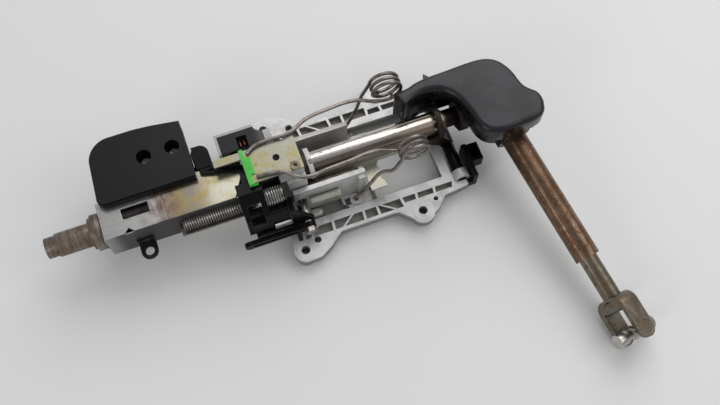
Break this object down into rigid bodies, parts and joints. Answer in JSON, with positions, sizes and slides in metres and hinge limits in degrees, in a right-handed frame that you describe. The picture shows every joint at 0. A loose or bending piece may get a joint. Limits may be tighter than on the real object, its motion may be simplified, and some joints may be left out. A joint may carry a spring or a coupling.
{
  "type": "adjustable steering column",
  "caption": "Tilt and reach adjustable car steering column on a cast bracket, with helper springs, a booted universal joint and a telescoping intermediate shaft.",
  "frame": {"origin": "centre of the splined tip's end face, on the steering axis", "axes": "+X along the steering axis from the wheel end to the joint, +Y across to the lock cover's side, +Z away from the mounting face"},
  "size_m": [0.5428, 0.3635, 0.1086],
  "materials": {
    "cast_bracket": "as-cast, matt",
    "galvanised": "galvanised, stained",
    "plain_steel": "bare, lightly oiled",
    "rusty_steel": "bare, surface rust",
    "brown_steel": "drawn, rusted brown",
    "spring_steel": "oiled wire",
    "black_steel": "black, satin",
    "yellow_zinc": "yellow-passivated zinc",
    "cover_plastic": "fine grain",
    "boot_plastic": "satin",
    "black_plastic": "satin",
    "grey_plastic": "satin",
    "white_plastic": "satin",
    "green_plastic": "semi-gloss",
    "red_pins": "semi-gloss"
  },
  "bodies": {
    "bracket": {"mounting_bracket": "cast_bracket", "pivot_bushes": "grey_plastic", "far_spring": "spring_steel", "near_spring": "spring_steel", "connector_holder": "grey_plastic", "connector_body": "black_plastic", "connector_pins": "red_pins", "stop_screw": "yellow_zinc", "harness_clip": "black_plastic", "joint_boot": "boot_plastic", "boot_screw": "plain_steel"},
    "swing": {"pivot_shaft": "black_steel", "swing_arm": "yellow_zinc", "lower_bearing": "white_plastic", "guide_housing": "yellow_zinc", "top_plate": "yellow_zinc", "plate_eyelet": "plain_steel", "spring_saddle": "green_plastic", "clamp_bracket": "black_steel", "clamp_bolt": "plain_steel", "clamp_nut": "plain_steel", "lock_block": "plain_steel", "spring_clip": "plain_steel", "tilt_segment": "plain_steel", "damper_barrel": "galvanised"},
    "lever": {"release_lever": "black_plastic"},
    "slide": {"slide_box": "galvanised", "jacket_tube": "brown_steel", "upper_bearing": "plain_steel", "sleeve_bush": "white_plastic", "shaft_end_bush": "white_plastic", "lock_module": "black_plastic", "lock_cover": "cover_plastic", "cover_screws": "plain_steel", "bumper_tab": "black_plastic", "top_rail": "black_plastic", "telescope_rack": "plain_steel", "rack_rail": "galvanised", "side_tab": "galvanised"},
    "wheel_shaft": {"upper_shaft": "rusty_steel", "shaft_collar": "rusty_steel"},
    "column_shaft": {"lower_shaft": "plain_steel", "upper_yoke": "rusty_steel", "upper_cups": "plain_steel"},
    "joint": {"joint_hub": "plain_steel"},
    "intermediate": {"intermediate_tube": "brown_steel", "tube_yoke": "rusty_steel", "tube_cups": "plain_steel"},
    "end_yoke": {"intermediate_rod": "rusty_steel", "lower_yoke": "rusty_steel", "ear_caps": "plain_steel"},
    "end_cross": {"lower_cross": "plain_steel", "cross_cups": "plain_steel"}
  },
  "joints": [
    {"name": "tilt", "type": "hinge", "parent": "bracket", "child": "swing", "pos_m": [0.422, 0, -0.042], "axis": [0, 1, 0], "range_deg": [-2.5, 2.5], "deforming": ["far_spring", "near_spring"]},
    {"name": "telescope", "type": "slide", "parent": "swing", "child": "slide", "axis": [1, 0, 0], "range_m": [-0.015, 0.025]},
    {"name": "lever_turn", "type": "hinge", "parent": "swing", "child": "lever", "pos_m": [0.252, -0.055, -0.026], "axis": [0, 1, 0], "range_deg": [0, 50]},
    {"name": "steering_spin", "type": "hinge", "parent": "slide", "child": "wheel_shaft", "pos_m": [0, 0, 0], "axis": [1, 0, 0], "continuous": true},
    {"name": "column_spin", "type": "hinge", "parent": "swing", "child": "column_shaft", "pos_m": [0.41, 0, 0], "axis": [1, 0, 0], "continuous": true},
    {"name": "joint_swing", "type": "hinge", "parent": "swing", "child": "joint", "pos_m": [0.473, 0, 0], "axis": [0, 0, -1], "range_deg": [-8, 8]},
    {"name": "intermediate_spin", "type": "hinge", "parent": "joint", "child": "intermediate", "pos_m": [0.473, 0, 0], "axis": [0.1635, -0.9772, -0.1357], "continuous": true},
    {"name": "shaft_telescope", "type": "slide", "parent": "intermediate", "child": "end_yoke", "axis": [0.1635, -0.9772, -0.1357], "range_m": [-0.04, 0.03]},
    {"name": "cross_turn", "type": "hinge", "parent": "end_yoke", "child": "end_cross", "pos_m": [0.51748, -0.26579, -0.03692], "axis": [0.3261, -0.0763, 0.9423], "range_deg": [-40, 40]}
  ],
  "couplings": [
    {"joint": "column_spin", "follows": "steering_spin", "ratio": 1},
    {"joint": "intermediate_spin", "follows": "steering_spin", "ratio": 1}
  ]
}
